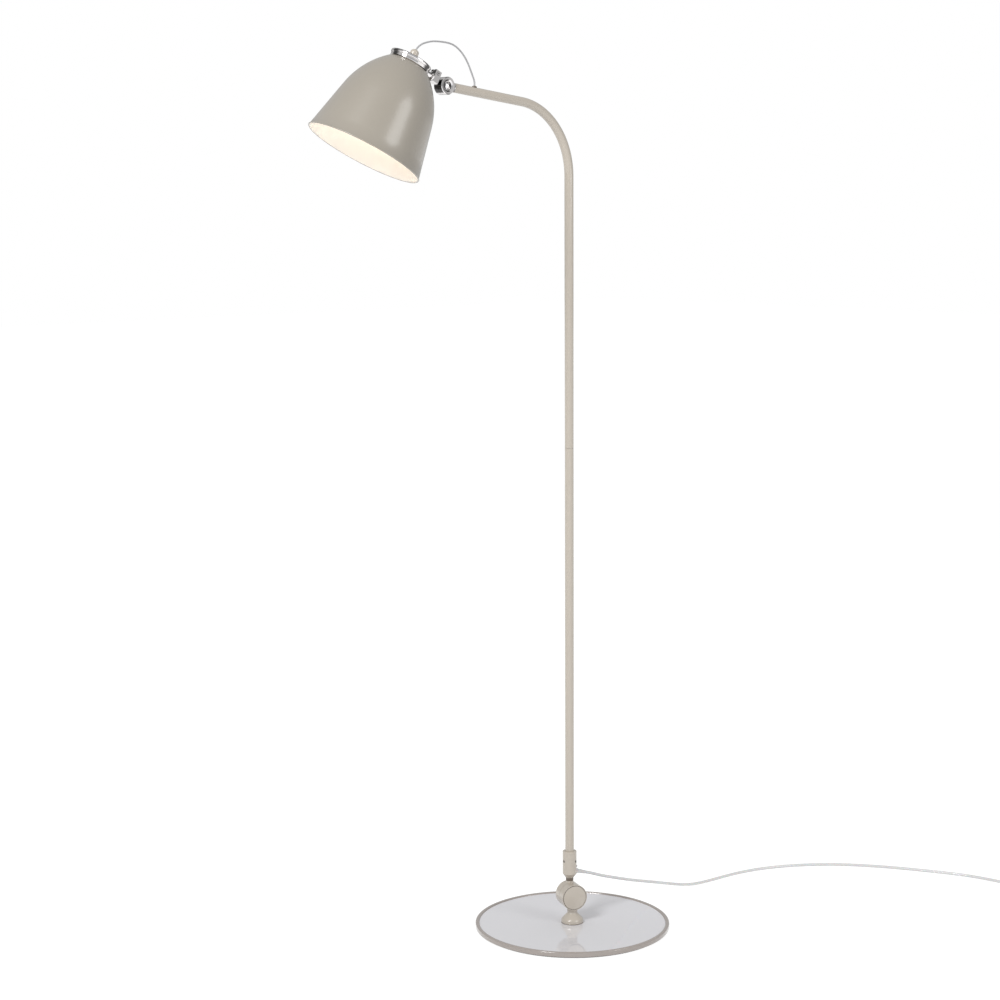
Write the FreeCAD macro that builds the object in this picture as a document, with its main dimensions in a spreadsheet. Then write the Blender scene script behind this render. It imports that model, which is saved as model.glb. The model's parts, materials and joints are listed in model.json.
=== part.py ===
import FreeCAD, Part
import math
import os
import Sketcher

# Gooseneck reading floor lamp. Millimetres, +Z up, origin on the floor under the round foot.
# The bent pole and its arm lie in a plane along X; the arm points to -X.

V = FreeCAD.Vector

SIZES = [
    ("plate_radius", 145.0, "round foot plate, outside"),
    ("pad_thick", 1.5, "rubber pad under the plate"),
    ("bed_height", 7.0, "top of the plate inside its rim"),
    ("rim_height", 9.0, "top of the rim"),
    ("rim_wide", 5.0, "width of the rim"),
    ("rim_round", 3.0, "rounding of the rim's outer edge"),
    ("cone_radius", 16.5, "foot cone at the plate"),
    ("cone_neck", 7.2, "foot cone at its top"),
    ("cone_top", 23.5, "height of the foot cone's top"),
    ("stem_radius", 6.0, "stem under the lower knuckle"),
    ("screw_radius", 4.0, "foot screw and knuckle bolt"),
    ("knuckle_height", 47.0, "centre of the lower knuckle"),
    ("knuckle_radius", 19.5, "lower knuckle barrel"),
    ("knuckle_front", 10.0, "front face of the lower knuckle from the foot's axis"),
    ("knuckle_back", 18.0, "back face of the lower knuckle from the foot's axis"),
    ("knuckle_turn", 22.0, "knuckle axis, degrees from -Y towards -X"),
    ("pole_offset", 10.5, "pole axis behind the foot's axis along the knuckle"),
    ("neck_top", 68.4, "top of the rear knuckle's neck"),
    ("bush_thick", 4.6, "dark swivel bush on the neck"),
    ("sleeve_radius", 10.5, "sleeve round the pole's foot"),
    ("sleeve_top", 114.0, "top of the sleeve"),
    ("tube_radius", 6.5, "pole tube, outside"),
    ("tube_wall", 1.2, "pole tube wall"),
    ("tube_foot", 91.0, "lower end of the pole tube"),
    ("tube_joint", 720.0, "joint between the two pole tubes"),
    ("bend_start", 1113.0, "height where the pole starts to bend"),
    ("bend_radius", 104.0, "bend of the pole on its centre line"),
    ("bend_turn", 83.0, "turn of the bend in degrees"),
    ("arm_straight", 129.0, "straight arm after the bend"),
    ("head_reach", 15.2, "end of the arm tube to the head hinge"),
    ("head_radius", 12.0, "head knuckle barrel"),
    ("head_wide", 17.0, "head knuckle barrel, front to back"),
    ("stud_angle", 27.5, "shade stud above the level, degrees"),
    ("stud_radius", 3.0, "shade stud"),
    ("stud_reach", 67.1, "head hinge to the middle of the shade carrier"),
    ("shade_swing", -9.7, "shade turned about its stud, degrees"),
    ("shade_mouth", 82.0, "shade opening radius"),
    ("shade_wall", 1.0, "spun sheet of the shade"),
    ("cone_slope", 12.6, "slope of the shade's lower wall, degrees"),
    ("cone_rise", 71.0, "height of the shade's straight wall"),
    ("dome_radius", 115.5, "arc of the shade's shoulder"),
    ("shade_top", 134.0, "shade height at the carrier"),
    ("carrier_radius", 28.8, "chrome carrier on top of the shade"),
    ("carrier_tall", 7.8, "height of the carrier"),
    ("bulb_radius", 22.5, "lamp bulb"),
    ("lead_radius", 1.2, "thin lamp lead"),
    ("mains_radius", 2.2, "mains cord"),
    ("coil_pitch", 5.1, "step between turns and layers of the coil"),
    ("coil_inner", 18.4, "inner turn of the coil"),
    ("coil_turns", 3.25, "turns in each layer of the coil"),
    ("running_gap", 0.3, "clearance between turning faces"),
    ("fit_gap", 0.05, "clearance of a pin in its bore"),
]

doc = FreeCAD.newDocument("lamp")
sheet = doc.addObject("Spreadsheet::Sheet", "Sizes")
for row, (alias, amount, note) in enumerate(SIZES, 1):
    sheet.set("A%d" % row, alias)
    sheet.set("B%d" % row, str(amount))
    sheet.setAlias("B%d" % row, alias)
    sheet.set("C%d" % row, note)
doc.recompute()


class Size:
    """A number that remembers the spreadsheet expression it comes from."""

    def __init__(self, value, text):
        self.value = value
        self.text = text

    def join(self, other, sign, value):
        return Size(value, "(%s %s %s)" % (self.text, sign, other.text))

    def __add__(self, other):
        other = size(other)
        return self.join(other, "+", self.value + other.value)

    def __sub__(self, other):
        other = size(other)
        return self.join(other, "-", self.value - other.value)

    def __mul__(self, other):
        other = size(other)
        return self.join(other, "*", self.value * other.value)

    def __truediv__(self, other):
        other = size(other)
        return self.join(other, "/", self.value / other.value)

    def __neg__(self):
        return size(0) - self

    def __radd__(self, other):
        return size(other) + self

    def __rsub__(self, other):
        return size(other) - self

    def __rmul__(self, other):
        return size(other) * self


def size(value):
    """A bare number becomes a Size too."""
    return value if isinstance(value, Size) else Size(float(value), "%.6g" % value)


def cosine(angle):
    return Size(math.cos(math.radians(angle.value)), "cos(%s)" % angle.text)


def sine(angle):
    return Size(math.sin(math.radians(angle.value)), "sin(%s)" % angle.text)


def root(square):
    return Size(math.sqrt(square.value), "sqrt(%s)" % square.text)


NAMED = {alias: Size(amount, "Sizes." + alias) for alias, amount, note in SIZES}


def named(alias):
    return NAMED[alias]


def bind(thing, prop, amount):
    """Sets a property and ties it to the sheet."""
    amount = size(amount)
    setattr(thing, prop, amount.value)
    if "Sizes." in amount.text:
        thing.setExpression(prop, amount.text)


class Frame:
    """A place with its own axes, whose points are worked out from the sheet."""

    def __init__(self, origin, across, onward, upward):
        self.origin = [size(c) for c in origin]
        self.axes = [[size(c) for c in axis] for axis in (across, onward, upward)]

    def point(self, *steps):
        place = list(self.origin)
        for axis, step in zip(self.axes, steps):
            if size(step).value or "Sizes." in size(step).text:
                place = [p + a * size(step) if a.value or "Sizes." in a.text else p for p, a in zip(place, axis)]
        return place

    def spot(self, *steps):
        return V(*[c.value for c in self.point(*steps)])

    def turn(self):
        return FreeCAD.Rotation(*[V(*[c.value for c in axis]) for axis in self.axes], "XYZ")

    def put(self, thing, steps=(0, 0, 0), extra=None):
        turn = self.turn() if extra is None else self.turn().multiply(extra)
        place = self.point(*steps)
        thing.Placement = FreeCAD.Placement(V(*[c.value for c in place]), turn)
        for letter, coordinate in zip("xyz", place):
            if "Sizes." in coordinate.text:
                thing.setExpression(".Placement.Base." + letter, coordinate.text)
        return thing


WORLD = Frame((0, 0, 0), (1, 0, 0), (0, 1, 0), (0, 0, 1))
LIE_X = FreeCAD.Rotation(V(0, 1, 0), 90)
nodes = []


def node(thing, label):
    """Names a finished piece."""
    thing.Label = label
    nodes.append(thing)
    return thing


def turned(frame, outline, steps=(0, 0, 0), extra=None):
    """A piece turned on a lathe: an outline of (radius, height) points about the frame's third axis.

    A point may end with (arc radius, side): the edge that leaves it is then an arc of that radius,
    whose centre lies to the left (+1) or to the right (-1) of the way onward."""
    body = doc.addObject("PartDesign::Body", "Turned")
    sketch = body.newObject("Sketcher::SketchObject", "Outline")
    plane = [f for f in body.Origin.OriginFeatures if f.Role == "XZ_Plane"][0]
    sketch.AttachmentSupport = [(plane, "")]
    sketch.MapMode = "FlatFace"
    points = [(size(p[0]), size(p[1])) for p in outline]
    ends = []
    for k, corner in enumerate(outline):
        start = V(points[k][0].value, points[k][1].value, 0)
        following = points[(k + 1) % len(points)]
        end = V(following[0].value, following[1].value, 0)
        if len(corner) == 2:
            sketch.addGeometry(Part.LineSegment(start, end), False)
            ends.append((1, 2))
            continue
        radius, side = size(corner[2]), corner[3]
        half = (end - start) * 0.5
        left = V(-half.y, half.x, 0).normalize()
        rise = math.sqrt(max(radius.value ** 2 - half.Length ** 2, 0.0))
        centre = start + half + left * (side * rise)
        angles = [math.atan2(q.y - centre.y, q.x - centre.x) for q in (start, end)]
        if side < 0:
            angles.reverse()
        circle = Part.Circle(centre, V(0, 0, 1), radius.value)
        sketch.addGeometry(Part.ArcOfCircle(circle, angles[0], angles[1]), False)
        ends.append((1, 2) if side > 0 else (2, 1))
    count = len(points)
    for k in range(count):
        after = (k + 1) % count
        sketch.addConstraint(Sketcher.Constraint("Coincident", k, ends[k][1], after, ends[after][0]))
        if len(outline[k]) > 2:
            rule = sketch.addConstraint(Sketcher.Constraint("Radius", k, size(outline[k][2]).value))
            sketch.setExpression("Constraints[%d]" % rule, size(outline[k][2]).text)
    for k, (across, up) in enumerate(points):
        for kind, amount, axis in (("DistanceX", across, -2), ("DistanceY", up, -1)):
            if abs(amount.value) < 1e-9:
                sketch.addConstraint(Sketcher.Constraint("PointOnObject", k, ends[k][0], axis))
                continue
            rule = sketch.addConstraint(Sketcher.Constraint(kind, -1, 1, k, ends[k][0], amount.value))
            if "Sizes." in amount.text:
                sketch.setExpression("Constraints[%d]" % rule, amount.text)
    spin = body.newObject("PartDesign::Revolution", "Spin")
    spin.Profile = sketch
    spin.ReferenceAxis = (sketch, ["V_Axis"])
    spin.Angle = 360
    return frame.put(body, steps, extra)


def ring(frame, inner, outer, low, high, steps=(0, 0, 0), extra=None):
    return turned(frame, [(inner, low), (outer, low), (outer, high), (inner, high)], steps, extra)


def rod(frame, radius, length, steps=(0, 0, 0), extra=None):
    thing = doc.addObject("Part::Cylinder", "Rod")
    bind(thing, "Radius", radius)
    bind(thing, "Height", length)
    return frame.put(thing, steps, extra)


def hexagon(frame, radius, length, steps=(0, 0, 0), extra=None):
    thing = doc.addObject("Part::Prism", "Hexagon")
    thing.Polygon = 6
    bind(thing, "Circumradius", radius)
    bind(thing, "Height", length)
    return frame.put(thing, steps, extra)


def block(frame, wide, deep, tall, steps=(0, 0, 0), extra=None):
    thing = doc.addObject("Part::Box", "Block")
    bind(thing, "Length", wide)
    bind(thing, "Width", deep)
    bind(thing, "Height", tall)
    return frame.put(thing, steps, extra)


def cut(base, *tools):
    for tool in tools:
        result = doc.addObject("Part::Cut", "Cut")
        result.Base = base
        result.Tool = tool
        base = result
    return base


def fuse(*things):
    result = doc.addObject("Part::MultiFuse", "Fuse")
    result.Shapes = list(things)
    return result


def group(*things):
    result = doc.addObject("Part::Compound", "Group")
    result.Links = list(things)
    return result


def tube_node(label, path, radius, length):
    """A round cord along a path; its volume is compared with its section times its length."""
    start = path.Edges[0]
    tangent = start.tangentAt(start.FirstParameter)
    begin = start.valueAt(start.FirstParameter)
    ends = [e.valueAt(p) for e in (start,) for p in (e.FirstParameter, e.LastParameter)]
    if (ends[0] - path.OrderedVertexes[0].Point).Length > 1e-6:
        begin = ends[1]
        tangent = start.tangentAt(start.LastParameter) * -1
    section = Part.Wire(Part.Circle(begin, tangent, radius).toShape())
    solid = path.makePipeShell([section], True, False)
    ratio = solid.Volume / (math.pi * radius ** 2 * length)
    print("%s: length %.1f, volume ratio %.4f" % (label, length, ratio))
    thing = doc.addObject("Part::Feature", "Tube")
    thing.Shape = solid if solid.ShapeType == "Solid" else solid.Solids[0]
    return node(thing, label)


def cord(label, route, radius):
    """A cord: straight runs along the route's points, joined by the largest tangent arcs that fit."""
    edges = []
    last = route[0]
    length = 0.0
    radii = []
    for k in range(1, len(route) - 1):
        back, ahead = route[k - 1] - route[k], route[k + 1] - route[k]
        reach = 0.45 * min(back.Length, ahead.Length)
        turn = math.pi - back.getAngle(ahead)
        radii.append(reach / math.tan(turn / 2))
        enter = route[k] + V(back).normalize() * reach
        leave = route[k] + V(ahead).normalize() * reach
        inward = (V(back).normalize() + V(ahead).normalize()).normalize()
        middle = route[k] + inward * (radii[-1] / math.cos(turn / 2) - radii[-1])
        edges.append(Part.LineSegment(last, enter).toShape())
        edges.append(Part.Arc(enter, middle, leave).toShape())
        last = leave
    edges.append(Part.LineSegment(last, route[-1]).toShape())
    length = sum(edge.Length for edge in edges)
    print(label, "radii", " ".join("%.0f" % r for r in radii))
    return tube_node(label, Part.Wire(edges), radius, length)


# --- the foot -------------------------------------------------------------------------------
plate = named("plate_radius")
pad = named("pad_thick")
bed = named("bed_height")
rim = named("rim_height")
rounding = named("rim_round")
bolt = named("screw_radius")
fit = named("fit_gap")
run = named("running_gap")
stem = named("stem_radius")
head_sink = 0.7
head_flare = 8.2
edge_low = 1.5

node(rod(WORLD, plate - 4, pad), "floor_pad")
node(turned(WORLD, [
    (bolt + 0.4, bed), (plate - named("rim_wide") - 1, bed), (plate - named("rim_wide"), rim),
    (plate - rounding, rim, rounding, -1), (plate, rim - rounding),
    (plate, pad + edge_low, edge_low, -1), (plate - edge_low, pad),
    (head_flare + 0.5, pad), (bolt + 0.4, pad + head_flare - bolt + 0.2)]), "base_plate")
screw_end = named("cone_top")
foot_screw = turned(WORLD, [
    (0, pad + head_sink - 0.3), (head_flare, pad + head_sink - 0.3), (bolt, pad + head_flare - bolt + 0.4),
    (bolt, screw_end), (0, screw_end)])
node(cut(foot_screw, hexagon(WORLD, 3.4, 3.5, (0, 0, pad))), "foot_screw")
cone = named("cone_radius")
gasket_top = bed + 0.5
node(ring(WORLD, stem + 0.2, cone, bed, gasket_top), "foot_gasket")
neck = named("cone_neck")
cone_top = named("cone_top")
node(turned(WORLD, [
    (stem + 0.1, gasket_top), (cone, gasket_top), (cone, gasket_top + 2, 7.0, 1),
    (cone - 2.05, gasket_top + 6.95), (neck, cone_top - 1.5), (neck, cone_top), (stem + 0.1, cone_top)]),
    "foot_cone")

# --- the lower knuckle: a front half on the foot, a rear half that tilts ---------------------
turn = named("knuckle_turn")
facing = (-sine(turn), -cosine(turn), 0)
sideways = (cosine(turn), -sine(turn), 0)
KNUCKLE = Frame((0, 0, named("knuckle_height")), sideways, (0, 0, 1), facing)
barrel = named("knuckle_radius")
front = named("knuckle_front")
back = named("knuckle_back")
cap = barrel - 1.2
split = 4.0
cap_deep = 3.0
counterbore = 11.0
nut_seat = -1.2
front_half = turned(KNUCKLE, [
    (bolt + 0.08, run - split), (barrel, run - split), (barrel, front), (cap + 0.1, front),
    (cap + 0.1, front - cap_deep), (counterbore, front - cap_deep), (counterbore, nut_seat),
    (bolt + 0.08, nut_seat)])
collar = turned(WORLD, [
    (bolt + fit, gasket_top), (stem, gasket_top), (stem, cone_top), (neck + 0.4, cone_top),
    (neck + 0.4, named("knuckle_height") - barrel + 2), (bolt + fit, named("knuckle_height") - barrel + 2)])
swing_room = rod(KNUCKLE, barrel + run + 0.2, 20, (0, 0, -24 + run))
front_recess = rod(KNUCKLE, cap + 0.1, 10, (0, 0, front - cap_deep))
node(cut(fuse(front_half, collar), swing_room, front_recess), "front_knuckle")
node(ring(KNUCKLE, bolt + 0.3, barrel - 1.5, -split - 0.1, run - split), "friction_disc")
node(ring(KNUCKLE, bolt + 0.3, 9.5, nut_seat, 0), "knuckle_washer")
node(ring(KNUCKLE, bolt + 0.3, 9.0, 0, 2), "disc_springs")
node(turned(KNUCKLE, [
    (0, front - cap_deep), (cap, front - cap_deep), (cap, front - 0.3), (cap - 0.8, front + 0.3),
    (0, front + 0.9)]), "front_cap")

pole_x = sine(turn) * named("pole_offset")
pole_y = cosine(turn) * named("pole_offset")
POLE = Frame((pole_x, pole_y, 0), (1, 0, 0), (0, 1, 0), (0, 0, 1))
head_seat = -9.7
neck_top = named("neck_top")
rear_half = turned(KNUCKLE, [
    (bolt + 0.08, -split - run), (bolt + 0.08, head_seat), (9.0, head_seat), (9.0, cap_deep - back),
    (cap + 0.1, cap_deep - back), (cap + 0.1, -back), (barrel, -back), (barrel, -split - run)])
boss_low = named("knuckle_height") + barrel - 3
boss = turned(POLE, [(0, boss_low), (6.0, boss_low), (5.5, neck_top), (0, neck_top)])
m5 = 2.5
screw_depth = 9.5
neck_bore = rod(POLE, m5 + 0.04, screw_depth + 1, (0, 0, neck_top - screw_depth))
rear_recess = rod(KNUCKLE, cap + 0.1, 10, (0, 0, cap_deep - back - 10))
node(cut(fuse(rear_half, cut(boss, rear_recess)), neck_bore), "rear_knuckle")
bolt_head = hexagon(KNUCKLE, 7.5, 5.3, (0, 0, head_seat - 5.3))
bolt_shank = rod(KNUCKLE, bolt, 6.6 - head_seat, (0, 0, head_seat))
node(fuse(bolt_head, bolt_shank), "knuckle_bolt")
nut = hexagon(KNUCKLE, 7.5, 3.9, (0, 0, 2.05))
node(cut(nut, rod(KNUCKLE, bolt + 0.02, 6, (0, 0, 1))), "knuckle_nut")
node(turned(KNUCKLE, [
    (0, -back - 0.9), (cap - 0.8, -back - 0.3), (cap, 0.3 - back), (cap, cap_deep - back),
    (0, cap_deep - back)]), "rear_cap")

# --- the swivel on the neck and the sleeve that holds the pole --------------------------------
sleeve = named("sleeve_radius")
sleeve_low = neck_top + named("bush_thick") + 0.1
floor_top = sleeve_low + 3.6
chamber = named("tube_radius") + 0.05
bush_r = 5.6
node(ring(POLE, m5 + 0.1, bush_r, neck_top, sleeve_low - 0.1), "swivel_bush")
swivel_shank = rod(POLE, m5, floor_top - neck_top + screw_depth + 0.6, (0, 0, neck_top - screw_depth))
swivel_head = rod(POLE, 4.0, 1.7, (0, 0, floor_top + 0.4))
node(cut(fuse(swivel_shank, swivel_head), hexagon(POLE, 1.7, 1.5, (0, 0, floor_top + 1.1))), "swivel_screw")
node(ring(POLE, m5 + 0.05, 4.5, floor_top + 0.05, floor_top + 0.4), "swivel_washer")

gland_drop = 18.0
gland_tilt = math.radians(gland_drop)
gland_height = sleeve_low + 8.4
GLAND = Frame(POLE.point(sleeve, 0, gland_height), (math.sin(gland_tilt), 0, math.cos(gland_tilt)),
              (0, -1, 0), (math.cos(gland_tilt), 0, -math.sin(gland_tilt)))
gland_r = 2.9
grub_height = 98.8
clamp_gap = 6.1
clamp_height = gland_height + clamp_gap
grub = 2.0
sleeve_body = turned(POLE, [
    (m5 + fit + 0.03, sleeve_low), (bush_r + 0.4, sleeve_low), (sleeve, sleeve_low + 6.2),
    (sleeve, named("sleeve_top") - 0.6), (sleeve - 0.6, named("sleeve_top")),
    (chamber, named("sleeve_top")), (chamber, floor_top), (m5 + fit + 0.03, floor_top)])
grub_turns = [FreeCAD.Rotation(V(0, 0, 1), a).multiply(LIE_X) for a in (170, 290, 50)]
grub_bores = [rod(POLE, grub + 0.05, 12, (0, 0, grub_height), a) for a in grub_turns]
gland_bore = rod(GLAND, gland_r + 0.1, 14, (0, 0, -8))
clamp_bore = rod(POLE, 1.55, 12, (0, 0, clamp_height), LIE_X)
node(cut(sleeve_body, *grub_bores, gland_bore, clamp_bore), "pole_sleeve")
grubs = []
for place in grub_turns:
    outer = rod(POLE, grub, sleeve - 0.7, (0, 0, grub_height), place)
    socket = hexagon(POLE, 1.1, 3, (0, 0, grub_height), FreeCAD.Rotation(place))
    socket.Placement = FreeCAD.Placement(outer.Placement.Base + place.multVec(V(0, 0, sleeve.value - 1.9)), place)
    core = rod(POLE, chamber, 12, (0, 0, grub_height - 6))
    grubs.append(cut(outer, core, socket))
node(group(*grubs), "grub_screws")
bush_long = 22.0
node(turned(GLAND, [
    (named("lead_radius") + 0.05, -3.6), (gland_r, -3.6), (gland_r, 1.7), (3.7, 1.7), (3.7, 5.2), (3.1, 6.0),
    (named("mains_radius") + 0.3, bush_long), (0, bush_long), (0, bush_long - 6),
    (named("lead_radius") + 0.05, bush_long - 6)]), "cord_bush")
clamp_shank = rod(POLE, 1.5, 5.0, (6.8, 0, clamp_height), LIE_X)
clamp_dome = turned(POLE, [(0, 0), (2.3, 0), (2.3, 2.2), (1.4, 3.8), (0, 4.2)],
                    (sleeve + 0.3, 0, clamp_height), LIE_X)
node(fuse(clamp_shank, clamp_dome), "cord_clamp_screw")

# --- the pole: two tubes on a joiner, the upper one bent into the arm --------------------------
tube = named("tube_radius")
bore = tube - named("tube_wall")
foot = named("tube_foot")
joint = named("tube_joint")
node(ring(POLE, bore, tube, foot, joint - 0.1), "lower_pole")
node(ring(POLE, bore - 1.8, bore - 0.05, joint - 30, joint + 30), "pole_joiner")
bend = named("bend_radius")
turned_by = named("bend_turn")
bend_start = named("bend_start")
ARM = Frame(
    POLE.point(bend * cosine(turned_by) - bend, 0, bend_start + bend * sine(turned_by)),
    (cosine(turned_by), 0, sine(turned_by)), (0, 1, 0), (-sine(turned_by), 0, cosine(turned_by)))
arm_long = named("arm_straight")
pipe_body = doc.addObject("PartDesign::Body", "UpperTube")
path = pipe_body.newObject("Sketcher::SketchObject", "Path")
path.AttachmentSupport = [([f for f in pipe_body.Origin.OriginFeatures if f.Role == "XZ_Plane"][0], "")]
path.MapMode = "FlatFace"
rise = bend_start - joint - 0.1
angle = math.radians(turned_by.value)
path.addGeometry(Part.LineSegment(V(0, 0, 0), V(0, rise.value, 0)), False)
bend_centre = V(-bend.value, rise.value, 0)
path.addGeometry(Part.ArcOfCircle(Part.Circle(bend_centre, V(0, 0, 1), bend.value), 0, angle), False)
bend_end = bend_centre + V(math.cos(angle), math.sin(angle), 0) * bend.value
arm_way = V(-math.sin(angle), math.cos(angle), 0)
path.addGeometry(Part.LineSegment(bend_end, bend_end + arm_way * arm_long.value), False)
path.addConstraint(Sketcher.Constraint("Coincident", 0, 1, -1, 1))
path.addConstraint(Sketcher.Constraint("PointOnObject", 0, 2, -2))
path.addConstraint(Sketcher.Constraint("Tangent", 0, 2, 1, 1))
path.addConstraint(Sketcher.Constraint("Tangent", 1, 2, 2, 1))
for kind, first, amount in (
        ("DistanceY", (0, 1, 0, 2), rise), ("Radius", (1,), bend), ("Distance", (2,), arm_long)):
    rule = path.addConstraint(Sketcher.Constraint(kind, *first, amount.value))
    path.setExpression("Constraints[%d]" % rule, amount.text)
rule = path.addConstraint(Sketcher.Constraint("Angle", 1, angle))
path.setExpression("Constraints[%d]" % rule, turned_by.text + " * 1 deg")
section = pipe_body.newObject("Sketcher::SketchObject", "Section")
section.AttachmentSupport = [([f for f in pipe_body.Origin.OriginFeatures if f.Role == "XY_Plane"][0], "")]
section.MapMode = "FlatFace"
for k, radius in enumerate((tube, bore)):
    section.addGeometry(Part.Circle(V(0, 0, 0), V(0, 0, 1), radius.value), False)
    section.addConstraint(Sketcher.Constraint("Coincident", k, 3, -1, 1))
    rule = section.addConstraint(Sketcher.Constraint("Radius", k, radius.value))
    section.setExpression("Constraints[%d]" % rule, radius.text)
pipe = pipe_body.newObject("PartDesign::AdditivePipe", "Pipe")
pipe.Profile = section
pipe.Spine = (path, ["Edge1", "Edge2", "Edge3"])
POLE.put(pipe_body, (0, 0, joint + 0.1))

lead = named("lead_radius")
grommet_back = 54.0
grommet_at = arm_long + named("head_reach") - grommet_back
HEAD = Frame(ARM.point(0, 0, arm_long + named("head_reach")), *ARM.axes)
UP_ARM = FreeCAD.Rotation(V(0, 1, 0), 90)
grommet_bore = rod(ARM, 2.5, 10, (0, 0, grommet_at), UP_ARM)
node(cut(pipe_body, grommet_bore), "upper_pole")
node(turned(ARM, [
    (lead + 0.05, 3.4), (3.0, 3.4), (3.0, 4.25), (2.4, 4.25), (2.4, 6.6), (3.6, 6.6), (3.2, 7.7),
    (lead + 0.4, 8.3), (lead + 0.05, 8.3)], (0, 0, grommet_at), UP_ARM), "arm_grommet")

# --- the head knuckle: the arm's half in front, the shade's half behind ------------------------
hub = named("head_radius")
half = named("head_wide") / 2
head_seat_y = 3.8
TO_FRONT = FreeCAD.Rotation(V(1, 0, 0), 90)
TO_SIDE = FreeCAD.Rotation(V(1, 0, 0), -90)
arm_half = turned(HEAD, [
    (m5 + 0.08, 0.2), (hub, 0.2), (hub, half - 0.8), (hub - 0.8, half), (hub - 3.6, half - 0.2),
    (6.6, half - 1.8), (6.6, half - head_seat_y), (m5 + 0.08, half - head_seat_y)], (0, 0, 0), TO_FRONT)
plug_long = 30.0
reach = named("head_reach")
spigot = rod(HEAD, bore - 0.05, plug_long, (0, 0, -reach - plug_long + 0.5))
collar_disc = rod(HEAD, tube, 1.4, (0, 0, 0.05 - reach))
web = block(HEAD, 9, 5.8, reach - hub + 4, (-4.5, -6.2, 0.2 - reach))
node(fuse(cut(fuse(arm_half, web), rod(HEAD, m5 + 0.08, 20, (0, 12, 0), TO_FRONT),
              rod(HEAD, 6.6, 20, (0, head_seat_y - half, 0), TO_FRONT)), spigot, collar_disc), "arm_spigot")

tilt = named("stud_angle")
STUD = Frame(HEAD.origin, (-sine(tilt), 0, -cosine(tilt)), (0, -1, 0), (-cosine(tilt), 0, sine(tilt)))
# STUD: its third axis runs out along the stud, its first axis points down to the shade's opening.
clamp_start = 15.5
clamp_long = 10.0
ear_up = 11.0
head_half = turned(HEAD, [(m5 + 0.02, -0.2), (m5 + 0.02, -half), (hub - 0.8, -half), (hub, 0.8 - half),
                          (hub, -0.2)], (0, 0, 0), TO_FRONT)
arm_web = block(STUD, 8, half - 1.2, clamp_start - hub + 5, (-4, -half + 0.8, hub - 4))
clamp_block = block(STUD, ear_up + 6, 11, clamp_long, (-ear_up, -5.5, clamp_start))
stud = named("stud_radius")
stud_bore = rod(STUD, stud + fit, 30, (0, 0, clamp_start - 1))
slit = block(STUD, ear_up + 1, 1.2, 30, (-ear_up - 1, -0.6, clamp_start - 1))
ear_bore = rod(STUD, 1.55, 30, (-7.2, -15, clamp_start + clamp_long / 2), TO_SIDE)
ear_sink = rod(STUD, 3.0, 2.2, (-7.2, 3.4, clamp_start + clamp_long / 2), TO_SIDE)
pin_bore = rod(HEAD, m5 + 0.02, 30, (0, 12, 0), TO_FRONT)
node(cut(fuse(head_half, arm_web, clamp_block), stud_bore, slit, ear_bore, ear_sink, pin_bore), "head_clamp")
pin = rod(HEAD, m5, 2 * half - 2.5, (0, half - 0.3, 0), TO_FRONT)
pin_dome = turned(HEAD, [(0, half - 2.4), (4.8, half - 2.4), (4.8, half - 1.2), (3.4, half + 0.2),
                         (0, half + 0.7)], (0, 0, 0), TO_FRONT)
node(fuse(pin, pin_dome), "head_screw")
node(ring(HEAD, m5 + 0.05, 5.2, half - 2.9, half - 2.4, (0, 0, 0), TO_FRONT), "head_washer")
node(ring(HEAD, m5 + 0.05, 5.0, half - head_seat_y + 0.1, half - 2.9, (0, 0, 0), TO_FRONT), "head_spring")
clamp_pin = rod(STUD, 1.5, 8.6, (-7.2, -5.0, clamp_start + clamp_long / 2), TO_SIDE)
clamp_head = rod(STUD, 2.7, 2.6, (-7.2, 3.45, clamp_start + clamp_long / 2), TO_SIDE)
clamp_key = hexagon(STUD, 1.4, 2, (-7.2, 4.9, clamp_start + clamp_long / 2), TO_SIDE)
node(cut(fuse(clamp_pin, clamp_head), clamp_key), "clamp_screw")

# --- the shade and what hangs in it -------------------------------------------------------------
carrier = named("carrier_radius")
carrier_tall = named("carrier_tall")
shade_top = named("shade_top")
seat = shade_top + 1.5
swing = named("shade_swing")
# the shade's axis: straight up from the stud, turned about the stud by the swing
out = STUD.axes[2]
upright = (sine(tilt) * cosine(swing), sine(swing), cosine(tilt) * cosine(swing))
lateral = (sine(tilt) * sine(swing), -cosine(swing), cosine(tilt) * sine(swing))
middle = STUD.point(0, 0, named("stud_reach"))
drop = seat + carrier_tall / 2
SHADE = Frame([m - u * drop for m, u in zip(middle, upright)], out, lateral, upright)
slope = named("cone_slope")
mouth = named("shade_mouth")
wall = named("shade_wall")
cone_rise = named("cone_rise")
dome = named("dome_radius")
slope_run = cone_rise * sine(slope) / cosine(slope)
shoulder_r = mouth - slope_run
# the shoulder arc starts along the wall: its centre lies inward, square to the wall
centre_r = shoulder_r - dome * cosine(slope)
centre_h = cone_rise - dome * sine(slope)
top_h = shade_top - 0.2
top_r = centre_r + root(dome * dome - (top_h - centre_h) * (top_h - centre_h))
inner_dome = dome - wall
inner_top = top_h - wall
inner_r = centre_r + root(inner_dome * inner_dome - (inner_top - centre_h) * (inner_top - centre_h))
nipple = 5.0
skin = wall / cosine(slope)
node(turned(SHADE, [
    (mouth - skin, 0), (mouth + 0.6, -0.6, 1.1, 1), (mouth + 0.2, 1.5), (mouth - 0.32, 1.6),
    (shoulder_r, cone_rise, dome, 1), (top_r, top_h), (nipple + 0.1, top_h), (nipple + 0.1, inner_top),
    (inner_r, inner_top, inner_dome, -1),
    (shoulder_r - wall * cosine(slope), cone_rise - wall * sine(slope))]), "shade_shell")
bead = 0.8
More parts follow.
